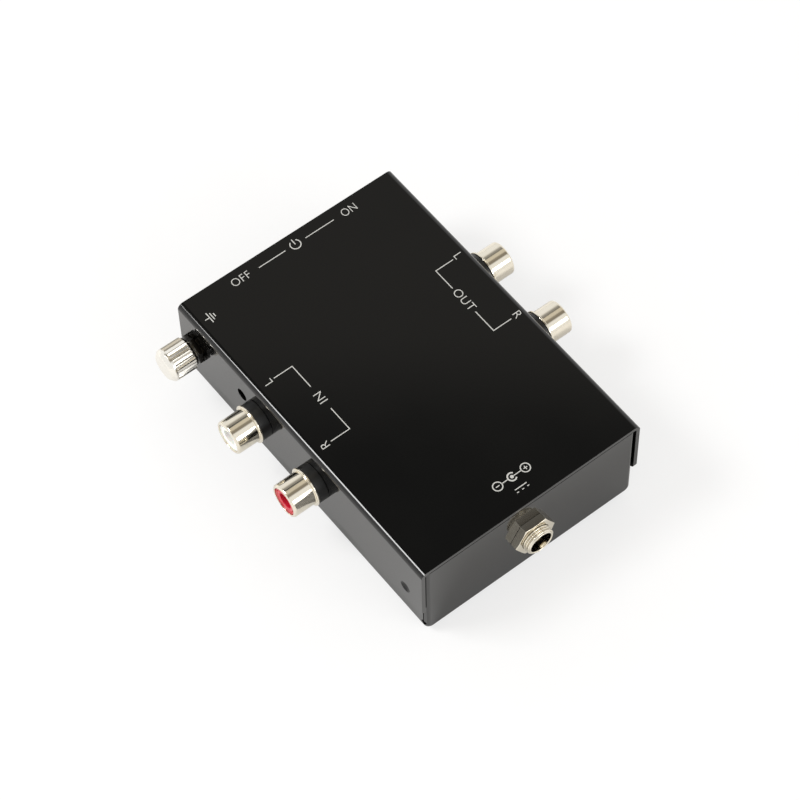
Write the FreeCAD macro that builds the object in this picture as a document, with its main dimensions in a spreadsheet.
import FreeCAD, Part
import os
import re
import Sketcher
from FreeCAD import Placement, Rotation, Vector

# A small phono preamp in a folded steel case, about 60 x 87 x 26 mm. A top cover, bent down on the
# left and right, drops over a tray that carries the front and back panels. The phono sockets and the
# ground post sit on the cover's side flanges, the power inlet on the front panel and the power
# switch on the back panel. All sizes are in millimetres.
# The case frame has X to the right, Y to the back and Z up, from the middle of the tray's underside.

SIZES = {
    # Case. The bends are the radii inside the sheet.
    "case_width": 60.0,
    "case_length": 87.5,
    "case_height": 25.6,
    "sheet": 1.0,
    "flange_drop": 17.2,
    "cover_bend": 0.5,
    "flange_corner": 1.2,
    "shut_gap": 0.2,
    "tray_bend": 0.8,
    "panel_bend": 0.2,
    "seam": 0.3,
    "relief_radius": 0.7,
    "lip_below_socket": 6.0,
    "ear_length": 11.0,
    # Snap dimples pressed into the flanges
    "dimple_radius": 2.0,
    "dimple_sink": 0.75,
    "dimple_edge": 5.8,
    "dimple_height": 13.1,
    "bump_base": 1.6,
    "bump_tip": 0.8,
    "bump_height": 0.7,
    "catch_radius": 1.9,
    # Feet and board
    "foot_radius": 4.0,
    "foot_height": 1.0,
    "foot_chamfer": 0.3,
    "foot_inset": 7.5,
    "board_width": 46.0,
    "board_length": 64.0,
    "board_thick": 1.6,
    "board_inset": 3.6,
    "standoff_height": 4.0,
    "standoff_radius": 2.6,
    "board_screw_radius": 1.25,
    "board_head_radius": 2.5,
    "board_head_height": 1.6,
    "driver_slot": 0.6,
    # Phono sockets, along each socket's own axis from the flange's outer face
    "socket_drop": 9.2,
    "socket_first": 30.0,
    "socket_pitch": 20.4,
    "collar_length": 2.5,
    "collar_radius": 4.6,
    "collar_neck": 3.9,
    "ring_thick": 0.55,
    "ring_radius": 4.8,
    "shell_radius": 4.15,
    "shell_length": 5.75,
    "shell_wall": 0.72,
    "shell_round": 0.6,
    "shell_floor": 0.6,
    "bush_radius": 3.0,
    "bush_length": 6.5,
    "bush_bore": 2.3,
    "insert_recess": 0.35,
    "mouth_depth": 1.6,
    "contact_radius": 1.9,
    "contact_bore": 1.65,
    "contact_depth": 6.0,
    "sleeve_end": 0.8,
    "tail_length": 2.0,
    "lug_thick": 0.4,
    "lug_radius": 4.3,
    "lug_tab": 2.4,
    "lug_tab_width": 2.4,
    "socket_nut_flats": 8.0,
    "socket_nut_thick": 2.0,
    "slack": 0.03,
    # Spare round hole beside the left input
    "spare_radius": 1.6,
    "spare_offset": 6.6,
    "spare_rise": 1.2,
    # Power inlet
    "inlet_x": -0.4,
    "inlet_height": 13.0,
    "inlet_reach": 3.95,
    "inlet_radius": 3.6,
    "inlet_bore": 2.78,
    "inlet_tip_chamfer": 0.35,
    "inlet_shoulder": 5.2,
    "inlet_shoulder_thick": 1.3,
    "inlet_nut_flats": 9.4,
    "inlet_nut_thick": 2.0,
    "inlet_nut_chamfer": 0.35,
    "inlet_body_radius": 4.9,
    "inlet_body_length": 7.0,
    "inlet_cavity": 4.4,
    "inlet_pin_radius": 1.0,
    "inlet_pin_recess": 1.2,
    "inlet_pin_round": 0.6,
    "inlet_tab_length": 3.5,
    "inlet_tab_ring": 3.0,
    "tab_width": 2.0,
    "tab_thick": 0.4,
    # Ground post
    "post_from_back": 6.2,
    "post_drop": 9.2,
    "stud_radius": 2.0,
    "stud_inside": 3.2,
    "stud_outside": 7.4,
    "thread_slack": 0.05,
    "star_radius": 3.7,
    "star_thick": 0.5,
    "star_teeth": 10.0,
    "jam_nut_flats": 6.4,
    "jam_nut_thick": 0.9,
    "inner_nut_flats": 7.0,
    "inner_nut_thick": 2.2,
    "washer_radius": 3.6,
    "washer_thick": 0.4,
    "knob_stand_off": 2.5,
    "knob_washer_gap": 0.05,
    "knob_radius": 4.05,
    "knob_length": 6.6,
    "knob_roof": 1.0,
    "knob_chamfer": 0.9,
    "knob_neck_chamfer": 0.3,
    "knurl_count": 30.0,
    "knurl_width": 0.42,
    "knurl_depth": 0.26,
    "knurl_length": 5.2,
    # Power switch
    "switch_height": 13.0,
    "switch_travel": 3.0,
    "lever_reach": 3.2,
    "lever_width": 4.0,
    "lever_height": 3.4,
    "lever_ridge": 0.5,
    "lever_foot_width": 7.0,
    "lever_foot_height": 4.6,
    "lever_foot_thick": 1.2,
    "window_slack": 0.3,
    "frame_length": 24.0,
    "frame_height": 7.4,
    "frame_thick": 0.5,
    "housing_length": 14.0,
    "housing_height": 6.6,
    "housing_depth": 4.8,
    "housing_wall": 0.7,
    "wiper_thick": 0.6,
    "switch_screw_pitch": 19.0,
    "switch_screw_radius": 1.0,
    "switch_head_radius": 2.0,
    "switch_head_height": 1.2,
    "switch_nut_flats": 4.0,
    "switch_nut_thick": 1.4,
    "switch_pin_pitch": 3.5,
    "switch_pin_length": 3.2,
    # Parts on the board
    "big_can_radius": 4.0,
    "big_can_height": 11.0,
    "small_can_radius": 2.5,
    "small_can_height": 7.0,
    "big_can_x": 14.0,
    "big_can_y": 24.0,
    "part_row": 11.0,
    "chip_length": 9.6,
    "chip_width": 6.4,
    "chip_height": 3.4,
    "chip_leg_gap": 0.6,
    "chip_y": 9.0,
    "leg_pitch": 2.54,
    "leg_width": 0.6,
    "film_length": 7.2,
    "film_thick": 3.0,
    "film_height": 7.0,
    "film_pitch": 4.5,
    "resistor_length": 3.2,
    "resistor_width": 1.6,
    "resistor_height": 0.6,
    "resistor_pitch": 3.6,
    "resistor_row": 4.2,
    "first_resistor": 16.0,
    "regulator_width": 10.0,
    "regulator_height": 5.0,
    "regulator_thick": 4.4,
    "regulator_lift": 2.0,
    "regulator_clear": 4.75,
}

doc = FreeCAD.newDocument("phono_preamp")
sheet = doc.addObject("Spreadsheet::Sheet", "sizes")
for row, (name, value) in enumerate(SIZES.items(), start=1):
    sheet.set("A%d" % row, name.replace("_", " "))
    sheet.set("B%d" % row, str(value))
    sheet.setAlias("B%d" % row, name)
doc.recompute()

FINISHED = []

# Places that several pieces share, written once as formulas of the sizes.
SHELL_BASE = "(collar_length + ring_thick)"
SHELL_TIP = "(collar_length + ring_thick + shell_length)"
CASE_X = "(knob_stand_off + knob_length - %s) / 2" % SHELL_TIP
CASE_Y = "(inlet_reach - lever_reach) / 2"
CASE_Z = "foot_height"
TRAY_X = "(case_width / 2 - sheet - shut_gap)"
TRAY_TOP = "(case_height - sheet - shut_gap)"
FLANGE_END = "(case_height - flange_drop)"
BACK_FACE = "(case_length / 2)"
PANEL_INSIDE = "(case_length / 2 - sheet)"
BOARD_TOP = "(sheet + standoff_height + board_thick)"
POST_Y = "(case_length / 2 - post_from_back)"
POST_Z = "(case_height - post_drop)"
SOCKET_Z = "(case_height - socket_drop)"
SEAT = "(2 * sheet + shut_gap)"


def expr(formula):
    """The formula with each size name pointed at the spreadsheet."""
    return re.sub(
        r"[a-z][a-z_]*",
        lambda word: "sizes." + word.group() if word.group() in SIZES else word.group(),
        str(formula),
    )


def number(formula):
    """The value that a formula has now."""
    return float(sheet.evalExpression(expr(formula)))


def bind(obj, **formulas):
    """Tie properties of an object to formulas of the sizes."""
    for prop, formula in formulas.items():
        obj.setExpression(prop, expr(formula))
    return obj


def put(obj, x="0", y="0", z="0", turn=None):
    """Put a construction object at a point of the case frame."""
    if turn:
        obj.Placement = Placement(Vector(), turn)
    for axis, formula in zip("xyz", (x, y, z)):
        obj.setExpression("Placement.Base." + axis, expr(formula))
    return obj


def finish(obj, label, x="0", y="0", z="0", turn=None):
    """Name a finished piece and put it where it belongs in the part's own frame."""
    put(obj, "%s + %s" % (CASE_X, x), "%s + %s" % (CASE_Y, y), "%s + %s" % (CASE_Z, z), turn)
    obj.Label = label
    FINISHED.append(obj)
    return obj


def block(name, x, y, z):
    """A rectangular block between two formulas on each axis."""
    box = doc.addObject("Part::Box", name)
    bind(box, Length="(%s) - (%s)" % x[::-1], Width="(%s) - (%s)" % y[::-1], Height="(%s) - (%s)" % z[::-1])
    return put(box, x[0], y[0], z[0])


TURNS = {
    "+x": Rotation(Vector(0, 1, 0), 90),
    "-x": Rotation(Vector(0, 1, 0), -90),
    "+y": Rotation(Vector(1, 0, 0), -90),
    "-y": Rotation(Vector(1, 0, 0), 90),
    "+z": Rotation(),
}


def rod(name, radius, length, at, way="+z"):
    """A round rod that starts at a point and runs along an axis."""
    cylinder = doc.addObject("Part::Cylinder", name)
    bind(cylinder, Radius=radius, Height=length)
    return put(cylinder, *at, turn=TURNS[way])


def group(name, members):
    """Separate solids that share one node."""
    compound = doc.addObject("Part::Compound", name)
    compound.Links = members
    return compound


def join(name, members):
    """One solid out of several touching ones."""
    fused = doc.addObject("Part::MultiFuse", name)
    fused.Shapes = members
    return fused


def cut(name, base, tools):
    """A base with the tools taken away from it."""
    result = doc.addObject("Part::Cut", name)
    result.Base = base
    result.Tool = tools[0] if len(tools) == 1 else join(name + "_tools", tools)
    return result


def outline(body, plane, corners):
    """A closed sketch of straight lines whose corners are tied to the sizes."""
    sketch = body.newObject("Sketcher::SketchObject", body.Name + "_outline")
    support = next(item for item in body.Origin.OriginFeatures if item.Role == plane)
    sketch.AttachmentSupport = [(support, "")]
    sketch.MapMode = "FlatFace"
    points = [Vector(number(u), number(v), 0) for u, v in corners]
    following = points[1:] + points[:1]
    for start, end in zip(points, following):
        sketch.addGeometry(Part.LineSegment(start, end), False)
    for i in range(len(corners)):
        sketch.addConstraint(Sketcher.Constraint("Coincident", i, 2, (i + 1) % len(corners), 1))
    for i, corner in enumerate(corners):
        for kind, formula in zip(("DistanceX", "DistanceY"), corner):
            tie = sketch.addConstraint(Sketcher.Constraint(kind, -1, 1, i, 1, number(formula)))
            sketch.setExpression("Constraints[%d]" % tie, expr(formula))
    return sketch


def padded(name, plane, corners, length):
    """A body padded both ways from one of its origin planes."""
    body = doc.addObject("PartDesign::Body", name)
    sketch = outline(body, plane, corners)
    pad = body.newObject("PartDesign::Pad", name + "_pad")
    pad.Profile = sketch
    pad.SideType = "Symmetric"
    bind(pad, Length=length)
    return body


def turned(name, corners):
    """A body turned about its own Z axis from (radius, height) corners."""
    body = doc.addObject("PartDesign::Body", name)
    sketch = outline(body, "XZ_Plane", corners)
    turn = body.newObject("PartDesign::Revolution", name + "_turning")
    turn.Profile = sketch
    turn.ReferenceAxis = (sketch, ["V_Axis"])
    turn.Angle = 360
    return body


def dress(body, kind, size, wanted):
    """Fillet or chamfer the edges of a body that a test picks out."""
    doc.recompute()
    base = body.Tip
    names = ["Edge%d" % i for i, edge in enumerate(base.Shape.Edges, start=1) if wanted(edge)]
    feature = body.newObject("PartDesign::" + kind, body.Name + "_" + kind.lower())
    feature.Base = (base, names)
    bind(feature, **{"Radius" if kind == "Fillet" else "Size": size})
    doc.recompute()
    return body


def near(value, formula):
    return abs(value - number(formula)) < 1e-4


def runs_along(edge, axis):
    """Whether an edge is straight along X, Y or Z."""
    return isinstance(edge.Curve, Part.Line) and abs(abs(getattr(edge.Curve.Direction, axis)) - 1) < 1e-6


def ring_at(height, radius):
    """A test for the circular edge of that height and radius."""
    return lambda edge: (
        isinstance(edge.Curve, Part.Circle)
        and near(edge.Curve.Center.z, height)
        and near(edge.Curve.Radius, radius)
    )


def hexagon(name, flats, thick, bore, chamfer=None):
    """A hex nut on its own Z axis, from its seat up."""
    corner = "(%s) / sqrt(3)" % flats
    half = "(%s) / 2" % flats
    body = doc.addObject("PartDesign::Body", name)
    sketch = outline(body, "XY_Plane", [
        (corner, "0"), (corner + " / 2", half), ("-%s / 2" % corner, half),
        ("-%s" % corner, "0"), ("-%s / 2" % corner, "-%s" % half), (corner + " / 2", "-%s" % half),
    ])
    pad = body.newObject("PartDesign::Pad", name + "_pad")
    pad.Profile = sketch
    bind(pad, Length=thick)
    doc.recompute()
    hole_sketch = body.newObject("Sketcher::SketchObject", name + "_bore_circle")
    support = next(item for item in body.Origin.OriginFeatures if item.Role == "XY_Plane")
    hole_sketch.AttachmentSupport = [(support, "")]
    hole_sketch.MapMode = "FlatFace"
    hole_sketch.addGeometry(Part.Circle(Vector(), Vector(0, 0, 1), number(bore)), False)
    hole_sketch.addConstraint(Sketcher.Constraint("Coincident", 0, 3, -1, 1))
    tie = hole_sketch.addConstraint(Sketcher.Constraint("Radius", 0, number(bore)))
    hole_sketch.setExpression("Constraints[%d]" % tie, expr(bore))
    pocket = body.newObject("PartDesign::Pocket", name + "_bore")
    pocket.Profile = hole_sketch
    pocket.Type = "ThroughAll"
    pocket.SideType = "Symmetric"
    doc.recompute()
    if pocket.Shape.Volume > pad.Shape.Volume - 1:
        raise ValueError(name + ": the bore cuts nothing")
    if not chamfer:
        return body
    # The turned crown that takes the six corners down at the face the spanner comes from.
    crown = turned(name + "_crown", [
        ("0", "0"), (corner + " + 1", "0"), (corner + " + 1", "(%s) - (%s) * 1.2" % (thick, chamfer)),
        ("%s + (%s) / 4" % (half, chamfer), thick), ("0", thick),
    ])
    nut = doc.addObject("Part::Common", name + "_crowned")
    nut.Base = body
    nut.Tool = crown
    return nut


# Top cover: one sheet bent down along both long edges.
def make_cover():
    side = "case_width / 2"
    inner = "case_width / 2 - sheet"
    shell = padded("cover_shell", "XZ_Plane", [
        ("-%s" % side, FLANGE_END), ("-%s" % side, "case_height"),
        (side, "case_height"), (side, FLANGE_END), (inner, FLANGE_END),
        (inner, "case_height - sheet"), ("-(%s)" % inner, "case_height - sheet"),
        ("-(%s)" % inner, FLANGE_END),
    ], "case_length")
    dress(shell, "Fillet", "cover_bend + sheet",
          lambda e: runs_along(e, "y") and near(e.CenterOfMass.z, "case_height"))
    dress(shell, "Fillet", "cover_bend",
          lambda e: runs_along(e, "y") and near(e.CenterOfMass.z, "case_height - sheet"))
    dress(shell, "Fillet", "flange_corner",
          lambda e: runs_along(e, "x") and near(e.CenterOfMass.z, FLANGE_END))
    tools = []
    bumps = []
    for way, sign in (("-x", "-1"), ("+x", "1")):
        for place in range(2):
            y = "case_length / 2 - socket_first - %d * socket_pitch" % place
            start = ("%s * (case_width / 2 - 2 * sheet)" % sign, y, SOCKET_Z)
            tools.append(rod("socket_hole", "collar_neck + slack", "3 * sheet", start, way))
    tools.append(rod("post_hole", "stud_radius + 2 * thread_slack", "3 * sheet",
                     ("-(case_width / 2 - 2 * sheet)", POST_Y, POST_Z), "-x"))
    tools.append(rod("spare_hole", "spare_radius", "3 * sheet",
                     ("-(case_width / 2 - 2 * sheet)", "case_length / 2 - socket_first + spare_offset",
                      SOCKET_Z + " + spare_rise"), "-x"))
    for sign, y in (("-1", "-(case_length / 2 - dimple_edge)"), ("1", "-(case_length / 2 - dimple_edge)"),
                    ("1", "case_length / 2 - dimple_edge")):
        ball = doc.addObject("Part::Sphere", "dimple")
        bind(ball, Radius="dimple_radius")
        put(ball, "%s * (case_width / 2 + dimple_radius - dimple_sink)" % sign, y, "dimple_height")
        tools.append(ball)
        bump = doc.addObject("Part::Cone", "bump")
        bind(bump, Radius1="bump_base", Radius2="bump_tip", Height="bump_height")
        way = "+x" if sign == "-1" else "-x"
        put(bump, "%s * (case_width / 2 - sheet)" % sign, y, "dimple_height", TURNS[way])
        bumps.append(bump)
    finish(cut("cover_cut", join("cover_bumped", [shell] + bumps), tools), "top_cover")


# Tray: bottom, front panel and back panel of one sheet, with a low lip on each side that rises to an
# ear at the four corners. The panels' edges are parted from the ears by a seam with a round relief.
def make_tray():
    def tub(name, x, y, bottom, top, bend, panel):
        body = padded(name, "XZ_Plane", [
            ("-%s" % x, bottom), (x, bottom), (x, top), ("-%s" % x, top),
        ], "2 * (%s)" % y)
        dress(body, "Fillet", bend, lambda e: runs_along(e, "y") and near(e.CenterOfMass.z, bottom))
        dress(body, "Fillet", panel,
              lambda e: runs_along(e, "x") and near(e.CenterOfMass.z, bottom))
        return body

    outside = tub("tray_outside", TRAY_X, BACK_FACE, "0", TRAY_TOP, "tray_bend + sheet", "panel_bend + sheet")
    inside = tub("tray_inside", "(%s - sheet)" % TRAY_X, PANEL_INSIDE, "sheet",
                 TRAY_TOP + " + sheet", "tray_bend", "panel_bend")
    far = "case_width / 2"
    tools = [block("lip_line", ("-" + far, far),
                   ("-%s + ear_length" % BACK_FACE, "%s - ear_length" % BACK_FACE),
                   (SOCKET_Z + " - lip_below_socket", "case_height"))]
    for x in (("-" + far, "-%s + 1.01 * sheet" % TRAY_X), ("%s - 1.01 * sheet" % TRAY_X, far)):
        for edge, way in ((PANEL_INSIDE, "-1"), ("-" + PANEL_INSIDE, "1")):
            y = sorted((edge, "%s + %s * seam" % (edge, way)), key=number)
            tools.append(block("seam_cut", x, tuple(y), ("tray_bend + sheet", "case_height")))
            middle = "%s + %s * seam / 2" % (edge, way)
            tools.append(rod("relief", "relief_radius", "(%s) - (%s)" % x[::-1],
                             (x[0], middle, "tray_bend + sheet + relief_radius"), "+x"))
    tools.append(rod("inlet_hole", "inlet_radius + slack", "3 * sheet",
                     ("inlet_x", "-%s + sheet" % PANEL_INSIDE, "inlet_height"), "-y"))
    tools.append(rod("post_clearance", "stud_radius + 2 * thread_slack", "4 * sheet",
                     ("-%s + 2 * sheet" % TRAY_X, POST_Y, POST_Z), "-x"))
    for sign, y in (("-1", "-(case_length / 2 - dimple_edge)"), ("1", "-(case_length / 2 - dimple_edge)"),
                    ("1", "case_length / 2 - dimple_edge")):
        way = "-x" if sign == "-1" else "+x"
        tools.append(rod("catch", "catch_radius", "4 * sheet",
                         ("%s * (%s - 2 * sheet)" % (sign, TRAY_X), y, "dimple_height"), way))
    half_window = "(lever_width + switch_travel) / 2 + window_slack"
    tools.append(block("switch_window", ("-(%s)" % half_window, half_window),
                       ("%s - sheet" % PANEL_INSIDE, "%s + sheet" % BACK_FACE),
                       ("switch_height - lever_height / 2 - window_slack",
                        "switch_height + lever_height / 2 + window_slack")))
    for sign in ("-1", "1"):
        tools.append(rod("switch_screw_hole", "switch_screw_radius + slack", "4 * sheet",
                         ("%s * switch_screw_pitch / 2" % sign, "%s - sheet" % PANEL_INSIDE,
                          "switch_height"), "+y"))
    finish(cut("tray_cut", cut("tray_hollow", outside, [inside]), tools), "base_tray")


# Four stick-on rubber feet under the tray.
def make_feet():
    feet = []
    for sx in ("-1", "1"):
        for sy in ("-1", "1"):
            pad = doc.addObject("Part::Cone", "foot")
            bind(pad, Radius1="foot_radius - foot_chamfer", Radius2="foot_radius", Height="foot_chamfer")
            x = "%s * (case_width / 2 - foot_inset)" % sx
            y = "%s * (case_length / 2 - foot_inset)" % sy
            put(pad, x, y, "-foot_height")
            disc = rod("foot_disc", "foot_radius", "foot_height - foot_chamfer",
                       (x, y, "foot_chamfer - foot_height"))
            feet.append(join("foot_pad", [pad, disc]))
    finish(group("feet", feet), "rubber_feet")


# Circuit board on four standoffs, held down by four slotted screws.
def board_corners():
    for sx in ("-1", "1"):
        for sy in ("-1", "1"):
            yield ("%s * (board_width / 2 - board_inset)" % sx,
                   "%s * (board_length / 2 - board_inset)" % sy)


def make_board():
    plate = block("board_plate", ("-board_width / 2", "board_width / 2"),
                  ("-board_length / 2", "board_length / 2"),
                  ("sheet + standoff_height", BOARD_TOP))
    holes = []
    posts = []
    screws = []
    for x, y in board_corners():
        holes.append(rod("board_hole", "board_screw_radius + 0.2", "3 * board_thick",
                         (x, y, "standoff_height")))
        post = rod("post_blank", "standoff_radius", "standoff_height", (x, y, "sheet"))
        tapped = rod("post_tapping", "board_screw_radius + slack", "standoff_height",
                     (x, y, "1.5 * sheet"))
        posts.append(cut("standoff", post, [tapped]))
        head = rod("screw_head", "board_head_radius", "board_head_height", (x, y, BOARD_TOP))
        shank = rod("screw_shank", "board_screw_radius", "standoff_height - sheet + board_thick",
                    (x, y, "2 * sheet"))
        slot = block("screw_slot", ("%s - board_head_radius" % x, "%s + board_head_radius" % x),
                     ("%s - driver_slot / 2" % y, "%s + driver_slot / 2" % y),
                     ("%s + board_head_height / 2" % BOARD_TOP, "%s + 2 * board_head_height" % BOARD_TOP))
        screws.append(cut("board_screw", join("screw_blank", [head, shank]), [slot]))
    finish(cut("board_cut", plate, holes), "circuit_board")
    finish(group("standoffs", posts), "board_standoffs")
    finish(group("screws", screws), "board_screws")


# Phono sockets: a black insulating collar outside the flange, a nickel shell with its ring and
# threaded bush, a coloured insert with the centre contact, and a lug and a hex nut inside.
INSERT_FACE = "(%s - insert_recess)" % SHELL_TIP
CONTACT_MOUTH = "(%s - mouth_depth)" % INSERT_FACE
CONTACT_END = "(%s - contact_depth)" % CONTACT_MOUTH


def make_socket(label, side, y):
    way = "-x" if side == "-1" else "+x"
    seat = {"x": "%s * case_width / 2" % side, "y": y, "z": SOCKET_Z, "turn": TURNS[way]}
    collar = turned(label + "_collar_body", [
        ("bush_radius + slack", "-sheet"), ("collar_neck", "-sheet"), ("collar_neck", "0"),
        ("collar_radius", "0"), ("collar_radius", "collar_length"),
        ("bush_radius + slack", "collar_length"),
    ])
    finish(collar, label + "_collar", **seat)
    bore = "(shell_radius - shell_wall)"
    shell = turned(label + "_shell_body", [
        ("bush_bore", "-bush_length"), ("bush_radius", "-bush_length"),
        ("bush_radius", "collar_length"), ("ring_radius", "collar_length"),
        ("ring_radius", SHELL_BASE), ("shell_radius", SHELL_BASE),
        ("shell_radius", SHELL_TIP + " - shell_round"),
        ("shell_radius - 0.3 * shell_round", SHELL_TIP + " - 0.3 * shell_round"),
        ("shell_radius - shell_round", SHELL_TIP), (bore, SHELL_TIP), (bore, "collar_length + shell_floor"),
        ("bush_bore", "collar_length + shell_floor"),
    ])
    finish(shell, label + "_shell", **seat)
    sleeve = "bush_bore - slack"
    insert = turned(label + "_insert_body", [
        ("contact_radius + slack", INSERT_FACE), (bore + " - slack", INSERT_FACE),
        (bore + " - slack", "collar_length + shell_floor"), (sleeve, "collar_length + shell_floor"),
        (sleeve, "-bush_length - sleeve_end"), ("contact_radius + slack", "-bush_length - sleeve_end"),
    ])
    finish(insert, label + "_insert", **seat)
    tail = "-bush_length - sleeve_end - tail_length"
    contact = turned(label + "_contact_body", [
        ("0", tail), ("contact_radius", tail), ("contact_radius", CONTACT_MOUTH),
        ("contact_bore", CONTACT_MOUTH), ("contact_bore", CONTACT_END), ("0", CONTACT_END),
    ])
    finish(contact, label + "_contact", **seat)
    nut = hexagon(label + "_nut_body", "socket_nut_flats", "socket_nut_thick", "bush_radius + slack")
    seat["x"] = "%s * (case_width / 2 - sheet - lug_thick - socket_nut_thick)" % side
    finish(nut, label + "_nut", **seat)


def make_lug(side, y):
    """A round solder lug with a tab that points up, under one socket's nut."""
    way = "+x" if side == "-1" else "-x"
    at = ("%s * (case_width / 2 - sheet)" % side, y, SOCKET_Z)
    disc = rod("lug_disc", "lug_radius", "lug_thick", at, way)
    xs = sorted((at[0], "%s * (case_width / 2 - sheet - lug_thick)" % side), key=number)
    tab = block("lug_tab", tuple(xs), ("%s - lug_tab_width / 2" % y, "%s + lug_tab_width / 2" % y),
                (SOCKET_Z, SOCKET_Z + " + lug_radius + lug_tab"))
    eye = rod("lug_eye", "bush_radius + slack", "3 * lug_thick",
              ("%s * (case_width / 2 - sheet + lug_thick)" % side, y, SOCKET_Z), way)
    return cut("socket_lug", join("lug_blank", [disc, tab]), [eye])


def make_sockets():
    lugs = []
    for kind, side in (("input", "-1"), ("output", "1")):
        for place, channel in enumerate(("left", "right")):
            y = "(case_length / 2 - socket_first - %d * socket_pitch)" % place
            make_socket("%s_%s" % (kind, channel), side, y)
            lugs.append(make_lug(side, y))
    finish(group("lugs", lugs), "socket_lugs")


# Power inlet: a threaded nickel barrel through the front panel, held by a hex nut outside and its
# own shoulder inside, with a plastic back, a centre pin and three solder tabs.
def make_inlet():
    front = "-(case_length / 2)"
    seat = {"x": "inlet_x", "y": front, "z": "inlet_height", "turn": TURNS["-y"]}
    shoulder_end = "-sheet - inlet_shoulder_thick"
    barrel = turned("inlet_barrel_body", [
        ("inlet_bore", shoulder_end), ("inlet_shoulder", shoulder_end), ("inlet_shoulder", "-sheet"),
        ("inlet_radius", "-sheet"), ("inlet_radius", "inlet_reach - inlet_tip_chamfer"),
        ("inlet_radius - inlet_tip_chamfer", "inlet_reach"), ("inlet_bore", "inlet_reach"),
    ])
    finish(barrel, "inlet_barrel", **seat)
    back = "%s - inlet_body_length" % shoulder_end
    plug = turned("inlet_back_body", [
        ("inlet_pin_radius + slack", back), ("inlet_body_radius", back),
        ("inlet_body_radius", shoulder_end), ("inlet_bore", shoulder_end),
        ("inlet_bore", "%s - inlet_cavity" % shoulder_end),
        ("inlet_pin_radius + slack", "%s - inlet_cavity" % shoulder_end),
    ])
    finish(plug, "inlet_back", **seat)
    tip = "(inlet_reach - inlet_pin_recess)"
    pin = turned("inlet_pin_body", [
        ("0", back + " - tab_thick"), ("inlet_pin_radius", back + " - tab_thick"),
        ("inlet_pin_radius", tip + " - inlet_pin_round"),
        ("inlet_pin_radius - 0.3 * inlet_pin_round", tip + " - 0.3 * inlet_pin_round"),
        ("inlet_pin_radius - inlet_pin_round", tip), ("0", tip),
    ])
    finish(pin, "inlet_pin", **seat)
    nut = hexagon("inlet_nut_body", "inlet_nut_flats", "inlet_nut_thick", "inlet_radius + slack",
                  "inlet_nut_chamfer")
    finish(nut, "inlet_nut", **seat)
    end_face = "%s + sheet + inlet_shoulder_thick + inlet_body_length" % front
    tabs = []
    for x, z in (("inlet_x", "inlet_height + inlet_tab_ring"), ("inlet_x - inlet_tab_ring", "inlet_height"),
                 ("inlet_x + inlet_tab_ring", "inlet_height")):
        tabs.append(block("inlet_tab", ("%s - tab_width / 2" % x, "%s + tab_width / 2" % x),
                          (end_face, "%s + inlet_tab_length" % end_face),
                          ("%s - tab_thick / 2" % z, "%s + tab_thick / 2" % z)))
    finish(group("inlet_tabs", tabs), "inlet_solder_tabs")


# Ground post: a threaded stud that clamps cover and tray together, with a toothed washer and a thin
# nut outside, a lug and a nut inside, and a loose washer that travels with the knurled thumb nut.
def make_ground_post():
    seat = {"x": "-case_width / 2", "y": POST_Y, "z": POST_Z, "turn": TURNS["-x"]}
    hole = "stud_radius + thread_slack"
    stud = turned("stud_body", [
        ("0", "-%s - lug_thick - inner_nut_thick - stud_inside + sheet" % SEAT),
        ("stud_radius", "-%s - lug_thick - inner_nut_thick - stud_inside + sheet" % SEAT),
        ("stud_radius", "stud_outside"), ("0", "stud_outside"),
    ])
    dress(stud, "Chamfer", "thread_slack * 8", ring_at("stud_outside", "stud_radius"))
    finish(stud, "ground_stud", **seat)

    star = turned("star_body", [(hole, "0"), ("star_radius", "0"), ("star_radius", "star_thick"),
                                (hole, "star_thick")])
    gap = doc.addObject("Part::Box", "star_gap")
    bind(gap, Length="star_radius", Width="0.5 * star_thick + 0.35", Height="3 * star_thick")
    put(gap, "star_radius * 0.78", "-(0.25 * star_thick + 0.175)", "-star_thick")
    gaps = []
    for i in range(int(number("star_teeth"))):
        notch = doc.addObject("Part::Compound", "star_notch")
        notch.Links = [gap]
        notch.Placement = Placement(Vector(), Rotation(Vector(0, 0, 1), 360 * i / number("star_teeth")))
        gaps.append(notch)
    finish(cut("star_cut", star, gaps), "ground_toothed_washer", **seat)

    jam = hexagon("jam_nut_body", "jam_nut_flats", "jam_nut_thick", hole)
    finish(jam, "ground_thin_nut", "-case_width / 2 - star_thick", POST_Y, POST_Z, TURNS["-x"])

    washer = turned("washer_body", [
        ("stud_radius + 2 * thread_slack", "0"), ("washer_radius", "0"),
        ("washer_radius", "washer_thick"), ("stud_radius + 2 * thread_slack", "washer_thick"),
    ])
    washer_start = "(knob_stand_off - knob_washer_gap - washer_thick)"
    finish(washer, "ground_washer", "-case_width / 2 - %s" % washer_start, POST_Y, POST_Z,
           TURNS["-x"])
    make_thumb_nut()

    inner_face = "-case_width / 2 + %s" % SEAT
    disc = rod("post_lug_disc", "lug_radius", "lug_thick", (inner_face, POST_Y, POST_Z), "+x")
    tab = block("post_lug_tab", (inner_face, inner_face + " + lug_thick"),
                ("%s - lug_tab_width / 2" % POST_Y, "%s + lug_tab_width / 2" % POST_Y),
                (POST_Z, POST_Z + " + lug_radius + lug_tab"))
    eye = rod("post_lug_eye", hole, "3 * lug_thick", (inner_face + " - lug_thick", POST_Y, POST_Z),
              "+x")
    finish(cut("post_lug_cut", join("post_lug_blank", [disc, tab]), [eye]), "ground_lug")
    inner = hexagon("inner_nut_body", "inner_nut_flats", "inner_nut_thick", hole)
    finish(inner, "ground_inner_nut", inner_face + " + lug_thick", POST_Y, POST_Z, TURNS["+x"])


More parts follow.
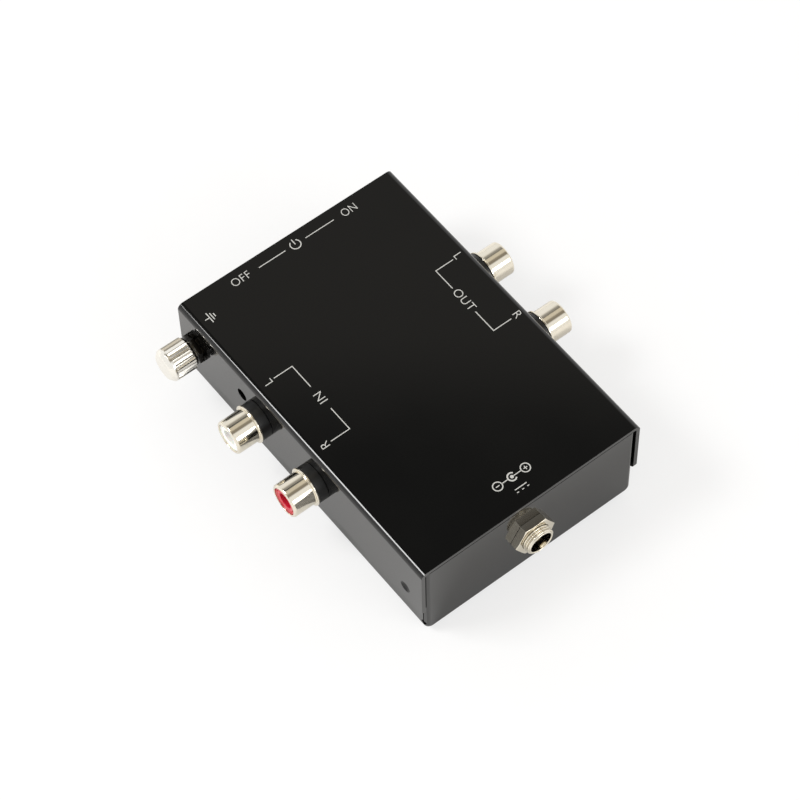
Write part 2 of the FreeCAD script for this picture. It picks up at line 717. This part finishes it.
# Thumb nut: turned, bored blind, and straight-knurled by one groove repeated round it.
def make_thumb_nut():
    body = turned("thumb_nut_body", [
        ("0", "knob_length - knob_roof"), ("stud_radius + thread_slack", "knob_length - knob_roof"),
        ("stud_radius + thread_slack", "0"), ("knob_radius - knob_neck_chamfer", "0"),
        ("knob_radius", "knob_neck_chamfer"), ("knob_radius", "knob_length - knob_chamfer"),
        ("knob_radius - knob_chamfer", "knob_length"), ("0", "knob_length"),
    ])
    doc.recompute()
    plain = body.Tip.Shape.Volume
    groove = outline(body, "XY_Plane", [
        ("knob_radius - knurl_depth", "0"), ("knob_radius + knurl_depth", "knurl_width"),
        ("knob_radius + knurl_depth", "-knurl_width"),
    ])
    pocket = body.newObject("PartDesign::Pocket", "knurl_cut")
    pocket.Profile = groove
    pocket.Reversed = True
    bind(pocket, Length="knurl_length")
    doc.recompute()
    pattern = body.newObject("PartDesign::PolarPattern", "knurl")
    pattern.Originals = [pocket]
    pattern.Axis = (groove, ["N_Axis"])
    pattern.Angle = 360
    pattern.setExpression("Occurrences", expr("knurl_count"))
    body.Tip = pattern
    doc.recompute()
    one = plain - pocket.Shape.Volume
    if one < 1e-3 or plain - pattern.Shape.Volume < 0.9 * one * number("knurl_count"):
        raise ValueError("the knurl cuts too little")
    finish(body, "ground_thumb_nut", "-case_width / 2 - knob_stand_off", POST_Y, POST_Z,
           TURNS["-x"])


# Power switch: a steel frame behind the back panel holds a plastic housing, and the lever slides in
# it along X. Two screws with nuts hold the frame. The lever rests at OFF.
def make_switch():
    inside = PANEL_INSIDE
    back_of_frame = "(%s - frame_thick)" % inside
    rest = "-switch_travel / 2"
    half_window = "((lever_width + switch_travel) / 2 + window_slack)"
    low, high = "(switch_height - lever_height / 2)", "(switch_height + lever_height / 2)"
    plate = block("frame_plate", ("-frame_length / 2", "frame_length / 2"), (back_of_frame, inside),
                  ("switch_height - frame_height / 2", "switch_height + frame_height / 2"))
    window = block("frame_window", ("-" + half_window, half_window),
                   ("%s - frame_thick" % back_of_frame, "%s + frame_thick" % inside),
                   (low + " - window_slack", high + " + window_slack"))
    screw_holes = []
    screws = []
    nuts = []
    for sign in ("-1", "1"):
        x = "%s * switch_screw_pitch / 2" % sign
        screw_holes.append(rod("frame_hole", "switch_screw_radius + slack", "4 * frame_thick",
                               (x, "%s - frame_thick" % back_of_frame, "switch_height"), "+y"))
        shank = rod("switch_shank", "switch_screw_radius",
                    "sheet + frame_thick + switch_nut_thick + frame_thick",
                    (x, BACK_FACE, "switch_height"), "-y")
        head = rod("switch_head", "switch_head_radius", "switch_head_height",
                   (x, BACK_FACE, "switch_height"), "+y")
        slot = block("switch_slot", ("%s - driver_slot / 2" % x, "%s + driver_slot / 2" % x),
                     ("%s + switch_head_height / 2" % BACK_FACE, "%s + 2 * switch_head_height" % BACK_FACE),
                     ("switch_height - switch_head_radius", "switch_height + switch_head_radius"))
        screws.append(cut("switch_screw", join("switch_screw_blank", [shank, head]), [slot]))
        nut = hexagon("switch_nut_body", "switch_nut_flats", "switch_nut_thick",
                      "switch_screw_radius + slack")
        nuts.append(put(nut, x, back_of_frame, "switch_height", TURNS["-y"]))
    finish(cut("frame_cut", plate, [window] + screw_holes), "switch_frame")
    finish(group("switch_screw_pair", screws), "switch_screws")
    finish(group("switch_nut_pair", nuts), "switch_nuts")

    deep = "(%s - housing_depth)" % back_of_frame
    shell = block("housing_block", ("-housing_length / 2", "housing_length / 2"), (deep, back_of_frame),
                  ("switch_height - housing_height / 2", "switch_height + housing_height / 2"))
    room = block("housing_room", ("-housing_length / 2 + housing_wall", "housing_length / 2 - housing_wall"),
                 ("%s + housing_wall" % deep, "%s + housing_wall" % back_of_frame),
                 ("switch_height - housing_height / 2 + housing_wall",
                  "switch_height + housing_height / 2 - housing_wall"))
    finish(cut("housing_cut", shell, [room]), "switch_housing")

    foot_face = "(%s - window_slack)" % back_of_frame
    foot = block("lever_foot", (rest + " - lever_foot_width / 2", rest + " + lever_foot_width / 2"),
                 (foot_face + " - lever_foot_thick", foot_face),
                 ("switch_height - lever_foot_height / 2", "switch_height + lever_foot_height / 2"))
    stem = block("lever_stem", (rest + " - lever_width / 2", rest + " + lever_width / 2"),
                 (foot_face, "%s + lever_reach" % BACK_FACE), (low, high))
    valleys = []
    for i in (-1, 0, 1):
        x = "%s + %d * 2 * lever_ridge" % (rest, i)
        valleys.append(block("lever_valley", (x + " - lever_ridge / 2", x + " + lever_ridge / 2"),
                             ("%s + lever_reach - lever_ridge" % BACK_FACE, "%s + 2 * lever_reach" % BACK_FACE),
                             (low + " - sheet", high + " + sheet")))
    finish(cut("lever_cut", join("lever_blank", [foot, stem]), valleys), "switch_lever")
    wiper = block("wiper_block", (rest + " - lever_foot_width / 3", rest + " + lever_foot_width / 3"),
                  ("%s - lever_foot_thick - wiper_thick" % foot_face, foot_face + " - lever_foot_thick"),
                  ("switch_height - lever_foot_height / 3", "switch_height + lever_foot_height / 3"))
    finish(group("wiper", [wiper]), "switch_wiper")
    pins = []
    for i in (-1, 0, 1):
        x = "%d * switch_pin_pitch" % i
        pins.append(block("switch_pin", (x + " - tab_width / 2", x + " + tab_width / 2"),
                          ("%s - switch_pin_length" % deep, deep),
                          ("switch_height - tab_thick / 2", "switch_height + tab_thick / 2")))
    finish(group("switch_pins_group", pins), "switch_solder_tabs")


# Parts on the board: two chips, cans, film blocks, resistors and a regulator, clear of the sockets.
def make_board_parts():
    chips = []
    for y in ("-chip_y", "chip_y"):
        body = block("chip_body", ("-chip_width / 2", "chip_width / 2"),
                     ("%s - chip_length / 2" % y, "%s + chip_length / 2" % y),
                     (BOARD_TOP + " + chip_leg_gap", BOARD_TOP + " + chip_leg_gap + chip_height"))
        legs = []
        for sign in ("-1", "1"):
            for i in range(4):
                at = "%s + %.1f * leg_pitch" % (y, i - 1.5)
                edge = "%s * (chip_width / 2 + leg_width / 2)" % sign
                legs.append(block("chip_leg", (edge + " - leg_width / 2", edge + " + leg_width / 2"),
                                  (at + " - leg_width / 2", at + " + leg_width / 2"),
                                  (BOARD_TOP, BOARD_TOP + " + chip_leg_gap + chip_height / 2")))
        chips.append(join("chip", [body] + legs))
    finish(group("chips", chips), "amplifier_chips")

    cans = []
    for sign in ("-1", "1"):
        cans.append(rod("big_can", "big_can_radius", "big_can_height",
                        ("%s * big_can_x" % sign, "big_can_y", BOARD_TOP)))
        cans.append(rod("small_can", "small_can_radius", "small_can_height",
                        ("%s * part_row" % sign, "chip_y", BOARD_TOP)))
    finish(group("cans", cans), "electrolytic_capacitors")

    films = []
    for x in ("-part_row", "part_row"):
        for y in ("-film_pitch", "0", "film_pitch - chip_y - film_length"):
            films.append(block("film", ("%s - film_length / 2" % x, "%s + film_length / 2" % x),
                               ("%s - film_thick / 2" % y, "%s + film_thick / 2" % y),
                               (BOARD_TOP, BOARD_TOP + " + film_height")))
    finish(group("films", films), "film_capacitors")

    resistors = []
    for x in ("-resistor_row", "resistor_row"):
        for i in range(4):
            y = "first_resistor + %d * resistor_pitch" % i
            resistors.append(block("resistor", (x + " - resistor_length / 2", x + " + resistor_length / 2"),
                                   (y + " - resistor_width / 2", y + " + resistor_width / 2"),
                                   (BOARD_TOP, BOARD_TOP + " + resistor_height")))
    finish(group("resistor_rows", resistors), "resistors")

    tab_end = "(case_length / 2 - sheet - inlet_shoulder_thick - inlet_body_length - inlet_tab_length)"
    middle = "-(%s - regulator_clear - regulator_thick / 2)" % tab_end
    tall = block("regulator_block", ("-regulator_width / 2", "regulator_width / 2"),
                 (middle + " - regulator_thick / 2", middle + " + regulator_thick / 2"),
                 (BOARD_TOP + " + regulator_lift", BOARD_TOP + " + regulator_lift + regulator_height"))
    legs = [block("regulator_leg", ("%d * leg_pitch - leg_width / 2" % i, "%d * leg_pitch + leg_width / 2" % i),
                  (middle + " - leg_width / 2", middle + " + leg_width / 2"),
                  (BOARD_TOP, BOARD_TOP + " + 1.5 * regulator_lift"))
            for i in (-1, 0, 1)]
    finish(join("regulator_join", [tall] + legs), "voltage_regulator")


make_cover()
make_tray()
make_feet()
make_board()
make_sockets()
make_inlet()
make_ground_post()
make_switch()
make_board_parts()
doc.recompute()

failed = [item.Name for item in doc.Objects if "Invalid" in item.State or "Error" in item.State]
for piece in FINISHED:
    if piece.Shape.isNull() or not piece.Shape.isValid() or not piece.Shape.Solids:
        failed.append(piece.Label)
if failed:
    raise ValueError("these did not build: " + ", ".join(failed))

os.makedirs("parts", exist_ok=True)
for piece in FINISHED:
    piece.Shape.exportStep("parts/%s.step" % piece.Label)
print(len(FINISHED), "pieces written")
